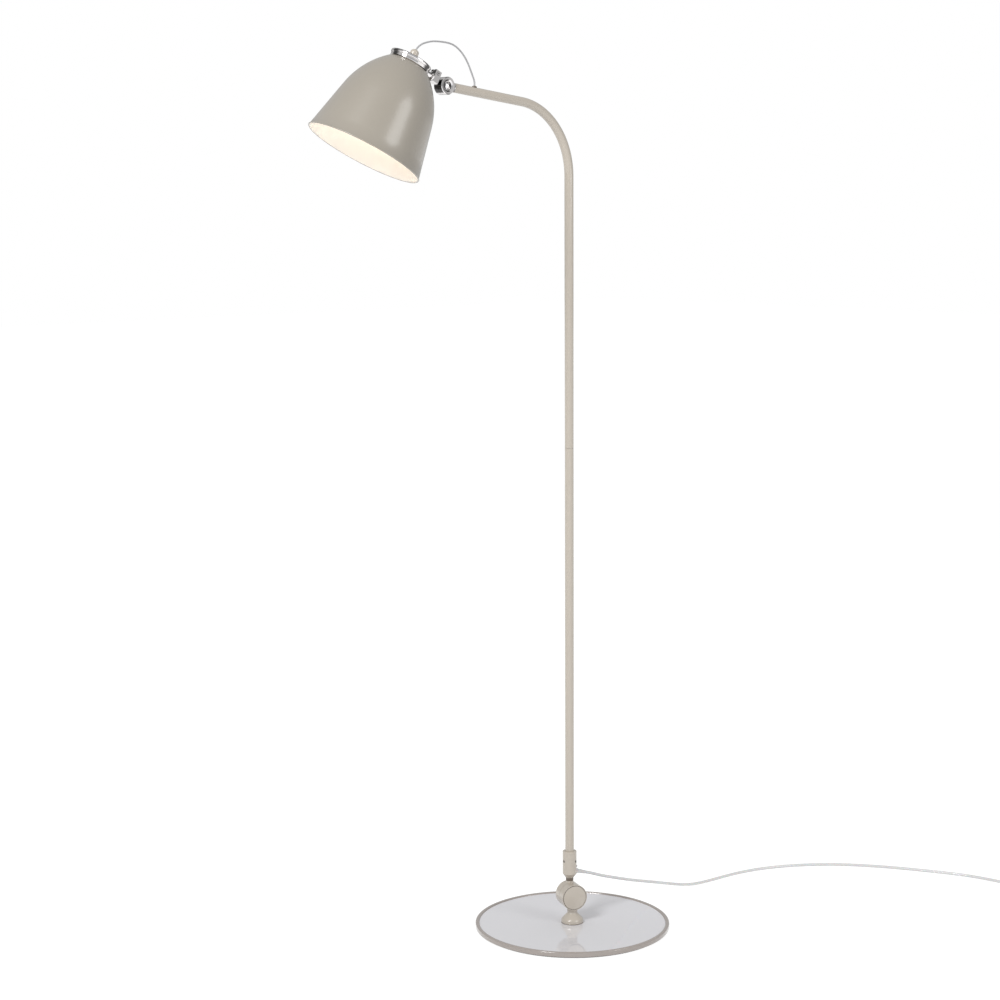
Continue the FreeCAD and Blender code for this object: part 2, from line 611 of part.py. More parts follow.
carrier_ring = turned(SHADE, [
    (nipple + 0.1, seat - 1.5), (top_r - 1.5, seat - 1.5), (carrier - 0.6, seat), (carrier - 0.6, seat + 3.2),
    (carrier, seat + 3.8), (carrier + bead, seat + 5.2), (carrier + bead, seat + 6.6),
    (carrier, seat + carrier_tall), (carrier - 2.2, seat + carrier_tall), (carrier - 2.2, seat + 0.5),
    (nipple + 0.1, seat + 0.5)])
stud_boss = block(SHADE, 11, 7, 6.2, (-carrier + 1.5, -3.5, seat + 0.4))
ALONG_STUD = FreeCAD.Rotation(V(0, 1, 0), 90)
boss_bore = rod(SHADE, 2.03, 16, (-carrier - 2, 0, seat + carrier_tall / 2), ALONG_STUD)
neck_flat = block(SHADE, 4, 16, 20, (-carrier - 4, -8, seat - 6))
node(cut(fuse(carrier_ring, stud_boss), boss_bore, neck_flat), "shade_carrier")
lid = seat + carrier_tall - 1.0
node(turned(SHADE, [
    (lead + 0.5, lid), (carrier - 2.3, lid), (carrier - 2.3, lid + 1.0), (9.0, lid + 1.5),
    (lead + 0.5, lid + 1.5)]), "top_cover")
cap_low = lid + 1.5
node(turned(SHADE, [
    (lead + 0.05, cap_low), (6.0, cap_low), (6.0, cap_low + 8.5, 3.0, 1), (3.0, cap_low + 11.5),
    (lead + 0.6, cap_low + 13.0), (lead + 0.05, cap_low + 13.0)]), "cable_cap")
node(ring(SHADE, 3.6, nipple, seat - 12, lid - 1), "holder_nipple")
nut_blank = hexagon(SHADE, 8.0, 3.0, (0, 0, seat + 0.5))
node(cut(nut_blank, rod(SHADE, nipple + 0.03, 8, (0, 0, seat))), "holder_nut")
socket_top = inner_top - 0.1
node(turned(SHADE, [
    (nipple + 0.05, socket_top), (nipple + 0.05, socket_top - 7), (11.0, socket_top - 7), (11.5, socket_top - 50),
    (13.2, socket_top - 50), (13.2, socket_top - 26), (14.2, socket_top - 24), (14.2, socket_top - 20),
    (12.8, socket_top - 18), (12.0, socket_top - 2), (10.5, socket_top)]), "lampholder")
bulb_top = socket_top - 28
cap_r = 6.9
node(turned(SHADE, [
    (0, socket_top - 12), (10.8, socket_top - 12), (11.0, socket_top - 30), (11.2, socket_top - 46),
    (cap_r + 0.1, socket_top - 46), (cap_r + 0.1, bulb_top + 0.2), (0, bulb_top + 0.2)]), "holder_insert")
node(turned(SHADE, [
    (0, bulb_top - 25), (cap_r, bulb_top - 25), (cap_r, bulb_top - 4), (4.0, bulb_top), (0, bulb_top)]), "bulb_cap")
globe = named("bulb_radius")
globe_low = bulb_top - 25 - 50
neck_r = 11.0
globe_meet = globe_low + globe + root(globe * globe - neck_r * neck_r)
node(turned(SHADE, [
    (0, globe_low, globe, 1), (globe, globe_low + globe, globe, 1), (neck_r, globe_meet),
    (cap_r - 0.2, bulb_top - 25), (0, bulb_top - 25)]), "bulb_glass")

rod_end = clamp_start - 1.0
flange = clamp_start + clamp_long + 0.5
stud_rod = rod(STUD, stud, flange - rod_end, (0, 0, rod_end))
stud_disc = turned(STUD, [
    (0, flange), (7.2, flange), (7.2, flange + 1.6), (4.0, flange + 3.0),
    (3.5, named("stud_reach") - carrier - 0.05), (0, named("stud_reach") - carrier - 0.05)])
stud_tail = rod(STUD, 2.0, 8, (0, 0, named("stud_reach") - carrier - 0.5))
node(fuse(stud_rod, stud_disc, stud_tail), "shade_stud")

# --- leads and cords ---------------------------------------------------------------------------
# the lamp lead runs inside the pole from the bush to the arm grommet
inside = [
    GLAND.spot(0, 0, -2.5), GLAND.spot(0, 0, -6.5), POLE.spot(1.0, 0, foot - 2.5), POLE.spot(0, 0, foot + 8)]
lead_bend = [POLE.spot(0, 0, bend_start)]
steps = 4
for k in range(steps):
    part = math.radians(turned_by.value) * (k + 0.5) / steps
    stretch = bend.value / math.cos(math.radians(turned_by.value) * 0.5 / steps)
    lead_bend.append(POLE.spot(stretch * math.cos(part) - bend.value, 0,
                               bend_start.value + stretch * math.sin(part)))
low_in_arm = [
    ARM.spot(0, 0, 15), ARM.spot(-2.0, 0, 40), ARM.spot(-2.6, 0, grommet_at.value - 5),
    ARM.spot(0.2, 0, grommet_at.value), ARM.spot(8.3, 0, grommet_at.value)]
cord("inner_lead", inside + lead_bend[1:] + low_in_arm, lead.value)

# the loop of thin lead over the head knuckle, in two lengths that meet at its top
y_arm = pole_y.value
loop_start = SHADE.spot(0, 0, cap_low + 13.0)
loop_top = V(-236.0, y_arm, 1292.6)
cord("loop_cord_shade", [
    loop_start, SHADE.spot(0, 0, cap_low + 16.0), V(-272.0, 6.9, 1288.2), V(-258.0, 8.9, 1291.6),
    V(-246.5, y_arm, 1293.0), loop_top], lead.value)
grommet_out = ARM.spot(8.3, 0, grommet_at.value)
cord("loop_cord_arm", [
    loop_top, V(-225.0, y_arm, 1292.18), V(-211.5, y_arm, 1289.0), V(-199.0, y_arm, 1280.5),
    V(-189.0, y_arm, 1268.5), V(-181.5, y_arm, 1254.0), V(-177.2, y_arm, 1245.0),
    ARM.spot(12.5, 0, grommet_at), grommet_out], lead.value)

# the mains cord: out of the bush, down to the floor, across it and into a coil
mains = named("mains_radius").value
lie = mains + 0.05
bush_out = GLAND.spot(0, 0, bush_long)
leave = GLAND.spot(0, 0, bush_long + 14)
neck_hold = V(104.0, y_arm, 50.6)
touch = V(330.0, 8.0, lie)
cord("mains_cord_neck", [bush_out, leave, V(72.0, y_arm, 61.0), neck_hold], mains)
cord("mains_cord_drop", [
    neck_hold, V(136.0, y_arm, 40.2), V(180.0, y_arm, 28.2), V(222.0, y_arm, 16.0), V(258.0, y_arm, 6.4),
    V(292.0, y_arm - 0.4, lie), touch], mains)
coil_middle = V(690.0, -338.0, 0)
pitch = named("coil_pitch").value
turns = named("coil_turns").value
inner = named("coil_inner").value
outer = inner + pitch * turns
coil_entry = 199.4
tuck = 0.8


def coil_place(quarter):
    """Place and heading after so many quarter turns: in on the floor, over a half turn, out again."""
    total = 4 * turns
    if quarter <= total:
        radius, pull, height = outer - pitch * quarter / 4, -pitch / (2 * math.pi), lie
    elif quarter >= total + 2:
        radius, pull, height = inner + pitch * (quarter - total - 2) / 4, pitch / (2 * math.pi), lie + pitch
    else:
        radius, pull, height = inner - tuck, 0.0, lie + pitch * (quarter - total) / 2
    turn_now = math.radians(quarter * 90.0 + coil_entry)
    ray = V(math.cos(turn_now), math.sin(turn_now), 0)
    side = V(-math.sin(turn_now), math.cos(turn_now), 0)
    if quarter in (total, total + 2):
        pull = 0.0
    climb = pitch / math.pi if total < quarter < total + 2 else 0.0
    heading = (side * radius + ray * pull + V(0, 0, climb * 1.3)).normalize()
    return coil_middle + ray * radius + V(0, 0, height), heading


def biarc(start, along, end, onward):
    """Two arcs that leave start along one heading and reach end along another."""
    gap = end - start
    both = along + onward
    rest = 4 - both.dot(both)
    reach_ = (math.sqrt(gap.dot(both) ** 2 + gap.dot(gap) * rest) - gap.dot(both)) / rest
    first, second = start + along * reach_, end - onward * reach_
    meet = (first + second) * 0.5
    arcs = []
    for a, corner, b in ((start, first, meet), (meet, second, end)):
        half_turn = (math.pi - (a - corner).getAngle(b - corner)) / 2
        inward = ((a + b) * 0.5 - corner).normalize()
        bow = reach_ / math.tan(half_turn) * (1 / math.cos(half_turn) - 1)
        arcs.append(Part.Arc(a, corner + inward * bow, b).toShape())
    return arcs


quarters = int(8 * turns) + 2
coil_edges = []
places = [coil_place(q) for q in range(quarters + 1)]
coil_in, way_in = places[0]
coil_out, way_out = places[-1]
straight = 2 * mains
coil_edges.append(Part.LineSegment(coil_in - way_in * straight, coil_in).toShape())
for (a, heading_a), (b, heading_b) in zip(places, places[1:]):
    coil_edges.extend(biarc(a, heading_a, b, heading_b))
coil_edges.append(Part.LineSegment(coil_out, coil_out + way_out * straight).toShape())
coil_wire = Part.Wire(coil_edges)
coil_length = sum(edge.Length for edge in coil_edges)
samples = [p for edge in coil_edges for p in edge.discretize(12)]
skip = 60
least = min(
    (samples[i] - samples[j]).Length for i in range(len(samples)) for j in range(i + skip, len(samples)))
print("coil: length %.0f, least gap %.2f" % (coil_length, least - 2 * mains))
tube_node("cord_coil", coil_wire, mains, coil_length)
coil_start = coil_in - way_in * straight
way_level = V(way_in.x, way_in.y, 0).normalize()
cord("mains_cord_floor", [
    touch, V(372.8, 6.5, lie), V(416.5, -3.7, lie), V(458.4, -21.3, lie), V(496.6, -46.2, lie),
    V(530.7, -77.0, lie),
    V(559.6, -113.7, lie), V(584.3, -153.4, lie), V(606.3, -194.8, lie), V(626.2, -236.9, lie),
    V(637.9, -270.3, lie), V(*(coil_start - way_level * 26)), coil_start], mains)
tail_start = coil_out + way_out * straight
tail_mid = tail_start + way_out * 12
plug_way = V(way_out.x, way_out.y, 0).normalize()
plug_turn = FreeCAD.Rotation(V(0, 0, 1), 12).multVec(plug_way)
plug_at = tail_mid + plug_turn * 12
cord("mains_cord_tail", [tail_start, tail_mid, plug_at], mains)
PLUG = Frame(plug_at, (0, 0, 1), (plug_turn.y, -plug_turn.x, 0), plug_turn)
relief = 22.0
plug_long = 34.0
plug_low = 0.3
plug_thick = 13.6
relief_cone = turned(PLUG, [
    (0, 0.0), (mains + 0.5, 0.0), (4.6, relief - 3), (4.6, relief + 2), (0, relief + 2)])
plug_base = doc.addObject("Part::Wedge", "PlugBlock")
plug_up = plug_thick / 2
plug_box = {
    "Xmin": -plug_up, "Xmax": plug_up, "Zmin": -9.0, "Zmax": 9.0, "Ymin": 0, "Ymax": plug_long,
    "X2min": -plug_up, "X2max": plug_up, "Z2min": -17.0, "Z2max": 17.0}
for prop, amount in plug_box.items():
    setattr(plug_base, prop, amount)
doc.recompute()
plug_round = doc.addObject("Part::Fillet", "PlugRound")
plug_round.Base = plug_base
plug_round.Edges = [(k, 2.0, 2.0) for k in range(1, 13)]
PLUG.put(plug_round, (plug_low + plug_up - plug_at.z, 0, relief), FreeCAD.Rotation(V(1, 0, 0), 90))
node(fuse(relief_cone, plug_round), "plug_body")
pins = [rod(PLUG, 2.0, 19, (plug_low + plug_up - plug_at.z, side, relief + plug_long + 0.01))
        for side in (-9.2, 9.2)]
node(group(*pins), "plug_pins")
tie_turn = math.radians(150.0)
TIE = Frame(coil_middle + V(math.cos(tie_turn), math.sin(tie_turn), 0) * ((inner + outer) / 2),
            (math.cos(tie_turn), math.sin(tie_turn), 0), (0, 0, 1),
            (math.sin(tie_turn), -math.cos(tie_turn), 0))
tie_wide = outer - inner + 2 * mains + 0.8
tie_tall = pitch + 2 * mains + 0.4
tie_out = block(TIE, tie_wide + 2, tie_tall + 1, 6, (-tie_wide / 2 - 1, 0, -3))
tie_in = block(TIE, tie_wide, tie_tall + 1, 8, (-tie_wide / 2, -1, -4))
node(cut(tie_out, tie_in), "cord_tie")

# --- check everything, then write one file for each piece ---------------------------------------
doc.recompute()
faults = [o.Name for o in doc.Objects if "Invalid" in o.State or "Error" in o.State]
for piece in nodes:
    if piece.Shape.isNull() or not piece.Shape.isValid() or not piece.Shape.Solids:
        faults.append(piece.Label)
if faults:
    raise SystemExit("not built: " + ", ".join(faults))
labels = [piece.Label for piece in nodes]
if len(set(labels)) != len(labels):
    raise SystemExit("two pieces share a name")
os.makedirs("parts", exist_ok=True)
for piece in nodes:
    piece.Shape.exportStep("parts/%s.step" % piece.Label)
print(len(nodes), "pieces written; head hinge at", HEAD.spot(0, 0, 0), "opening", SHADE.spot(0, 0, 0))
print("coil middle", coil_middle, "in", coil_start, "out", tail_start, "plug", plug_at)
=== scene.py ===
# %% [markdown]
# # A gooseneck reading lamp in Blender
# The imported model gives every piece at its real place, in metres. This lesson dresses it: turned
# and spun parts are worked out as surfaces, cords become smooth curves, and each finish is a
# procedural material.

# %% Load the frame
import json
import math
import bmesh
import bpy
import numpy as np
from mathutils import Matrix, Vector


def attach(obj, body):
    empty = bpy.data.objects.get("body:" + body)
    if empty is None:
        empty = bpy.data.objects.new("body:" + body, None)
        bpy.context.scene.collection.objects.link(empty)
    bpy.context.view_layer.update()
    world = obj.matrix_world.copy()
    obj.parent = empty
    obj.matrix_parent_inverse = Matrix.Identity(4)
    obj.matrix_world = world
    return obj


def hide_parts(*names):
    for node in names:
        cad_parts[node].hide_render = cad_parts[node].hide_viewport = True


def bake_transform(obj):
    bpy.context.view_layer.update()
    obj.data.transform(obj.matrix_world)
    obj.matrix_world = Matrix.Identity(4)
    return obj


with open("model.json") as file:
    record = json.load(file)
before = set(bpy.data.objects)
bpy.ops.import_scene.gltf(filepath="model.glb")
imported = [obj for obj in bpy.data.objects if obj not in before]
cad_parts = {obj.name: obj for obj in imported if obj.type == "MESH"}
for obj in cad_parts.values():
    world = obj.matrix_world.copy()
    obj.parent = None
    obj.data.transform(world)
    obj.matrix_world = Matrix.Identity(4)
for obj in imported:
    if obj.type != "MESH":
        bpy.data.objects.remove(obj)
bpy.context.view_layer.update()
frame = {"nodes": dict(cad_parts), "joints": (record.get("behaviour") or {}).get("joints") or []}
nodes = frame["nodes"]
joints = {joint["name"]: joint for joint in frame["joints"]}

# %% [markdown]
# ## Camera
# The camera stands where the photograph was taken: about 3.2 m away, 42 degrees round to the left,
# 1.08 m high and tipped down a little. A matrix made of its right, up and back directions sets it
# without any trial and error.

# %% Camera
AZIMUTH = math.radians(42.0)
PITCH = math.radians(7.69)
ROLL = math.radians(-0.299)
CAMERA_AT = Vector((-2.2304, -2.3201, 1.0798))
LENS_MM = 80.0
right = Vector((math.cos(AZIMUTH), -math.sin(AZIMUTH), 0))
level = Vector((math.sin(AZIMUTH), math.cos(AZIMUTH), 0))
forward = level * math.cos(PITCH) - Vector((0, 0, math.sin(PITCH)))
up = level * math.sin(PITCH) + Vector((0, 0, math.cos(PITCH)))
cam_right = right * math.cos(ROLL) + up * math.sin(ROLL)
cam_up = up * math.cos(ROLL) - right * math.sin(ROLL)
camera_data = bpy.data.cameras.new("camera")
camera_data.lens = LENS_MM
camera_data.sensor_width = 36.0
camera_data.clip_end = 50.0
camera = bpy.data.objects.new("camera", camera_data)
bpy.context.scene.collection.objects.link(camera)
turn = Matrix((cam_right, cam_up, -forward)).transposed().to_4x4()
camera.matrix_world = Matrix.Translation(CAMERA_AT) @ turn
bpy.context.scene.camera = camera

# %% [markdown]
# ## Surface effects as node groups
# Sprayed paint, plating and moulded plastic all vary a little: in tone, in gloss and in a very fine
# relief. One group works these three out from a point in space, so each material only chooses
# how large and how strong they are.


# %% The shared effect
def link(tree, source, target):
    tree.links.new(source, target)


def make_surface_group():
    """Tone is 1 plus or minus an amount of slow noise; Gloss is a base roughness plus finer noise;
    Normal leans by the slope of the finest noise."""
    tree = bpy.data.node_groups.new("fine_surface", "ShaderNodeTree")
    for name, kind, value in (
            ("Vector", "NodeSocketVector", None), ("Colour", "NodeSocketColor", (0.8, 0.8, 0.8, 1)),
            ("Scale", "NodeSocketFloat", 60.0), ("Tone amount", "NodeSocketFloat", 0.05),
            ("Roughness", "NodeSocketFloat", 0.3), ("Gloss amount", "NodeSocketFloat", 0.08),
            ("Relief", "NodeSocketFloat", 0.02)):
        socket = tree.interface.new_socket(name=name, in_out="INPUT", socket_type=kind)
        if value is not None:
            socket.default_value = value
    for name, kind in (("Colour", "NodeSocketColor"), ("Roughness", "NodeSocketFloat"),
                       ("Normal", "NodeSocketVector")):
        tree.interface.new_socket(name=name, in_out="OUTPUT", socket_type=kind)
    entry = tree.nodes.new("NodeGroupInput")
    leave = tree.nodes.new("NodeGroupOutput")
    noises = []
    for factor in (1.0, 4.0, 22.0):
        stretch = tree.nodes.new("ShaderNodeMath")
        stretch.operation = "MULTIPLY"
        stretch.inputs[1].default_value = factor
        noise = tree.nodes.new("ShaderNodeTexNoise")
        noise.inputs["Detail"].default_value = 3.0
        link(tree, entry.outputs["Scale"], stretch.inputs[0])
        link(tree, stretch.outputs[0], noise.inputs["Scale"])
        link(tree, entry.outputs["Vector"], noise.inputs["Vector"])
        noises.append(noise)
    spread = tree.nodes.new("ShaderNodeMath")
    spread.operation = "MULTIPLY_ADD"
    centred = tree.nodes.new("ShaderNodeMath")
    centred.operation = "SUBTRACT"
    centred.inputs[1].default_value = 0.5
    link(tree, noises[0].outputs["Fac"], centred.inputs[0])
    link(tree, centred.outputs[0], spread.inputs[0])
    link(tree, entry.outputs["Tone amount"], spread.inputs[1])
    spread.inputs[2].default_value = 1.0
    scaled = tree.nodes.new("ShaderNodeVectorMath")
    scaled.operation = "SCALE"
    link(tree, entry.outputs["Colour"], scaled.inputs[0])
    link(tree, spread.outputs[0], scaled.inputs["Scale"])
    link(tree, scaled.outputs[0], leave.inputs["Colour"])
    gloss = tree.nodes.new("ShaderNodeMath")
    gloss.operation = "MULTIPLY_ADD"
    link(tree, noises[1].outputs["Fac"], gloss.inputs[0])
    link(tree, entry.outputs["Gloss amount"], gloss.inputs[1])
    link(tree, entry.outputs["Roughness"], gloss.inputs[2])
    link(tree, gloss.outputs[0], leave.inputs["Roughness"])
    bump = tree.nodes.new("ShaderNodeBump")
    bump.inputs["Distance"].default_value = 0.0002
    link(tree, noises[2].outputs["Fac"], bump.inputs["Height"])
    link(tree, entry.outputs["Relief"], bump.inputs["Strength"])
    link(tree, bump.outputs["Normal"], leave.inputs["Normal"])
    return tree


SURFACE = make_surface_group()


def finish(name, colour, roughness, scale=60.0, tone=0.05, gloss=0.06, relief=0.02, **plain):
    """A Principled material fed by the shared effect; plain holds sockets set by a bare value."""
    material = bpy.data.materials.new(name)
    material.use_nodes = True
    tree = material.node_tree
    shader = tree.nodes["Principled BSDF"]
    place = tree.nodes.new("ShaderNodeTexCoord")
    group = tree.nodes.new("ShaderNodeGroup")
    group.node_tree = SURFACE
    group.inputs["Colour"].default_value = (*colour, 1)
    for socket, value in (("Scale", scale), ("Tone amount", tone), ("Roughness", roughness),
                          ("Gloss amount", gloss), ("Relief", relief)):
        group.inputs[socket].default_value = value
    link(tree, place.outputs["Object"], group.inputs["Vector"])
    link(tree, group.outputs["Colour"], shader.inputs["Base Color"])
    link(tree, group.outputs["Roughness"], shader.inputs["Roughness"])
    link(tree, group.outputs["Normal"], shader.inputs["Normal"])
    for socket, value in plain.items():
        shader.inputs[socket.replace("_", " ")].default_value = value
    return material


# %% [markdown]
# ## Finishes
# The lamp is sprayed a warm sand beige with a satin gloss. The foot's bed is the same lacquer polished up
# until it mirrors the foot cone. The bell's outside and the foot's rim take darker copies of the sand: a
# painted reflection of dark surroundings on the bell and painted shade on the rim. The head joint and the
# carrier are chrome plated, with light and dark bands of painted reflection, the inside of the shade is
# white, and the cords are clear sheaths over grey cores.

# %% Finishes
SAND = (0.505, 0.455, 0.39)
sand_paint = finish("sand_paint", SAND, 0.2, 14, 0.04, 0.05, 0.004, Coat_Weight=0.6, Coat_Roughness=0.06)
# The bell's outside is a darker copy of the sand: a painted reflection of dark surroundings.
bell_reflection_darkened = finish("bell_reflection_darkened", (0.325, 0.295, 0.25), 0.3, 9, 0.06, 0.04, 0.003,
                    Coat_Weight=0.8, Coat_Roughness=0.22)
# The rim is a darker copy of the sand: painted shade on the rim.
rim_shade_darkened = finish("rim_shade_darkened", (0.36, 0.32, 0.295), 0.14, 14, 0.04, 0.04, 0.004, Coat_Weight=0.6)
bed_lacquer = finish("bed_lacquer", (0.80, 0.795, 0.83), 0.03, 12, 0.03, 0.02, 0.0,
                     Coat_Weight=1.0, Coat_Roughness=0.015, Specular_IOR_Level=0.9)
shade_white = finish("shade_white", (0.88, 0.87, 0.85), 0.35, 20, 0.02, 0.05, 0.004)
chrome = finish("chrome", (0.86, 0.85, 0.86), 0.03, 60, 0.02, 0.03, 0.002, Metallic=1.0)
# Near-black for the caps' lips: a painted shadow in the seam.
seam_shadow = finish("seam_shadow", (0.06, 0.05, 0.045), 0.5, 100, 0.1, 0.1, 0.02)
black_steel = finish("black_steel", (0.03, 0.028, 0.026), 0.35, 160, 0.12, 0.1, 0.05, Metallic=0.6)
zinc = finish("zinc_plate", (0.55, 0.55, 0.57), 0.25, 160, 0.12, 0.15, 0.1, Metallic=1.0)
brass = finish("plated_brass", (0.70, 0.56, 0.32), 0.2, 120, 0.06, 0.1, 0.05, Metallic=1.0)
dark_bush = finish("dark_bush", (0.15, 0.12, 0.095), 0.4, 150, 0.1, 0.1, 0.15)
pad_rubber = finish("pad_rubber", (0.02, 0.02, 0.021), 0.7, 200, 0.2, 0.15, 0.5)
clear_sheath = finish("clear_sheath", (0.70, 0.70, 0.70), 0.2, 200, 0.06, 0.06, 0.02,
                      Coat_Weight=0.4, Subsurface_Weight=0.15, Subsurface_Scale=0.002)
lead_sheath = finish("lead_sheath", (0.40, 0.40, 0.41), 0.25, 200, 0.06, 0.06, 0.02, Coat_Weight=0.3)
white_moulding = finish("white_moulding", (0.80, 0.79, 0.76), 0.3, 140, 0.03, 0.1, 0.12)
warm_glass = finish("warm_glass", (0.95, 0.86, 0.72), 0.35, 60, 0.03, 0.05, 0.0)
glow = warm_glass.node_tree.nodes["Principled BSDF"]
glow.inputs["Emission Color"].default_value = (1.0, 0.80, 0.58, 1)
glow.inputs["Emission Strength"].default_value = 5.5


def painted_reflection_bands(material):
    """Paints light and dark bands into the base colour by how far each face turns away from the eye: a
    painted reflection. They are colour and not true reflection, so they slide with the view and the exported
    model has none."""
    tree = material.node_tree
    shader = tree.nodes["Principled BSDF"]
    turned_away = tree.nodes.new("ShaderNodeLayerWeight")
    turned_away.inputs["Blend"].default_value = 0.5
    bands = tree.nodes.new("ShaderNodeValToRGB")
    stops = bands.color_ramp.elements
    stops[0].color = (0.72, 0.71, 0.72, 1)
    stops[1].color = (0.62, 0.61, 0.62, 1)
    for place, tone in ((0.22, 0.95), (0.34, 0.10), (0.52, 0.07), (0.62, 0.85), (0.8, 0.28)):
        stop = stops.new(place)
        stop.color = (tone, tone * 0.97, tone * 0.96, 1)
    link(tree, turned_away.outputs["Facing"], bands.inputs["Fac"])
    link(tree, bands.outputs["Color"], shader.inputs["Base Color"])


# The chrome's light and dark bands are a painted reflection.
painted_reflection_bands(chrome)
print("materials", len(bpy.data.materials))

NODE_FINISH = {
    "sand_paint": "front_knuckle rear_knuckle pole_sleeve",
    "chrome": "arm_spigot head_clamp head_screw clamp_screw shade_stud",
    "zinc": "foot_screw knuckle_washer disc_springs knuckle_bolt knuckle_nut swivel_screw "
            "swivel_washer pole_joiner head_washer head_spring "
            "holder_nipple holder_nut",
    "dark_bush": "friction_disc swivel_bush foot_gasket arm_grommet",
    "pad_rubber": "floor_pad",
    "black_steel": "grub_screws cord_clamp_screw",
    "clear_sheath": "inner_lead cord_bush",
    "white_moulding": "holder_insert plug_body cord_tie",
    "brass": "bulb_cap plug_pins",
}
CHOICES = {"sand_paint": sand_paint, "chrome": chrome, "zinc": zinc, "black_steel": black_steel,
           "dark_bush": dark_bush,
           "pad_rubber": pad_rubber, "clear_sheath": clear_sheath, "white_moulding": white_moulding,
           "brass": brass}
for choice, names in NODE_FINISH.items():
    for name in names.split():
        nodes[name].data.materials.clear()
        nodes[name].data.materials.append(CHOICES[choice])

# %% [markdown]
# ## Places to build in
# Each turned piece has an axis of its own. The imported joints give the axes: the lower knuckle, the
# pole, the head hinge and the stud. The shade's own axis stands square to the stud, turned a
# little about it.


# %% Axes from the joints
class Axis:
    """A point with three directions; height runs along the last one."""

    def __init__(self, origin, along):
        self.origin = np.array(origin, float)
        self.along = np.array(along, float) / np.linalg.norm(along)
        helper = np.array([0, 0, 1.0]) if abs(self.along[2]) < 0.9 else np.array([1.0, 0, 0])
        self.first = np.cross(helper, self.along)
        self.first /= np.linalg.norm(self.first)
        self.second = np.cross(self.along, self.first)

    def spot(self, height):
        return self.origin + self.along * height


knuckle = Axis(joints["base_tilt"]["pos_m"], joints["base_tilt"]["axis"])
pole_at = joints["pole_swivel"]["pos_m"]
pole = Axis((pole_at[0], pole_at[1], 0), (0, 0, 1))
foot = Axis((0, 0, 0), (0, 0, 1))
hinge = np.array(joints["head_tilt"]["pos_m"])
stud_way = np.array(joints["shade_swivel"]["axis"])
SWING = math.radians(-9.7)
STUD_REACH = 0.0671
SEAT = 0.1355
CARRIER_TALL = 0.0078
plain_up = np.array([stud_way[2], 0, -stud_way[0]])
shade_up = plain_up * math.cos(SWING) + np.array([0, 1, 0]) * math.sin(SWING)
carrier_middle = hinge + stud_way * STUD_REACH
shade = Axis(carrier_middle - shade_up * (SEAT + CARRIER_TALL / 2), shade_up)
print("shade opening at", shade.origin.round(4))

# %% [markdown]
# ## Turned surfaces
# A lathe makes its pieces by carrying one outline round an axis. Here the outline is a closed row
# of (radius, height) corners. Each corner that should catch the light is first replaced by a short
# arc, then every outline point is turned through a full circle as one array.


# %% The lathe
def soften(corners, radius, steps=4):
    """Replaces each corner by an arc: a quadratic curve between points at radius from the corner."""
    corners = [np.array(corner, float) for corner in corners]
    out = []
    count = len(corners)
    for k, corner in enumerate(corners):
        before = corners[k - 1] - corner
        after = corners[(k + 1) % count] - corner
        reach = min(radius, 0.45 * np.linalg.norm(before), 0.45 * np.linalg.norm(after))
        if reach < 1e-6 or corner[0] < 1e-6:
            out.append(corner)
            continue
        a = corner + before / np.linalg.norm(before) * reach
        b = corner + after / np.linalg.norm(after) * reach
        for t in np.linspace(0, 1, steps):
            out.append((1 - t) ** 2 * a + 2 * t * (1 - t) * corner + t ** 2 * b)
    return np.array(out)


def grid_mesh(name, points, faces, materials):
    mesh = bpy.data.meshes.new(name)
    mesh.from_pydata(points.tolist(), [], faces.tolist())
    for material in materials:
        mesh.materials.append(material)
    mesh.polygons.foreach_set("use_smooth", np.ones(len(mesh.polygons), bool))
    mesh.update()
    thing = bpy.data.objects.new(name, mesh)
    bpy.context.scene.collection.objects.link(thing)
    clean(thing)
    return thing


def clean(thing):
    """Merges doubled points on an axis and makes every face look outward."""
    work = bmesh.new()
    work.from_mesh(thing.data)
    bmesh.ops.remove_doubles(work, verts=work.verts, dist=1e-7)
    bmesh.ops.dissolve_degenerate(work, dist=1e-8, edges=work.edges)
    bmesh.ops.recalc_face_normals(work, faces=work.faces)
    work.to_mesh(thing.data)
    work.free()


def lathe(name, axis, outline, materials, body, stands_for, around=128, pick=None, sharp=35.0):
    """point = origin + along * height + radius * (first * cos(angle) + second * sin(angle))."""
    angles = np.linspace(0, 2 * np.pi, around, endpoint=False)
    rays = np.cos(angles)[:, None] * axis.first + np.sin(angles)[:, None] * axis.second
    radius, height = outline[:, 0], outline[:, 1]
    points = (axis.origin + height[:, None, None] * axis.along
              + radius[:, None, None] * rays[None]).reshape(-1, 3)
    count = len(outline)
    row, column = np.meshgrid(np.arange(count), np.arange(around), indexing="ij")
    below = (row + 1) % count
    beside = (column + 1) % around
    faces = np.stack([row * around + column, row * around + beside,
                      below * around + beside, below * around + column], -1).reshape(-1, 4)
    thing = grid_mesh(name, points, faces, materials)
    if pick is not None:
        # merging renumbers faces, so the material is picked from each face's own middle
        centres = np.empty(len(thing.data.polygons) * 3)
        thing.data.polygons.foreach_get("center", centres)
        away = centres.reshape(-1, 3) - axis.origin
        up_axis = away @ axis.along
        out = np.linalg.norm(away - up_axis[:, None] * axis.along, axis=1)
        thing.data.polygons.foreach_set(
            "material_index", pick(np.stack([out, up_axis], 1)).astype(np.int32))
    thing.data.set_sharp_from_angle(angle=math.radians(sharp))
    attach(thing, body)
    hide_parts(*stands_for)
    print(name, len(thing.data.polygons), "faces")
    return thing


# %% [markdown]
# ## The foot
# The real foot is a heavy steel disc with a shallow turned bed, a raised rim and a thin rubber pad.
# A single outline gives it the rim's rounded lip, which is what the eye follows in the picture.

# %% Foot plate and cone
MM = 0.001
PLATE = 145.0


def in_metres(pairs):
    return [(a * MM, b * MM) for a, b in pairs]


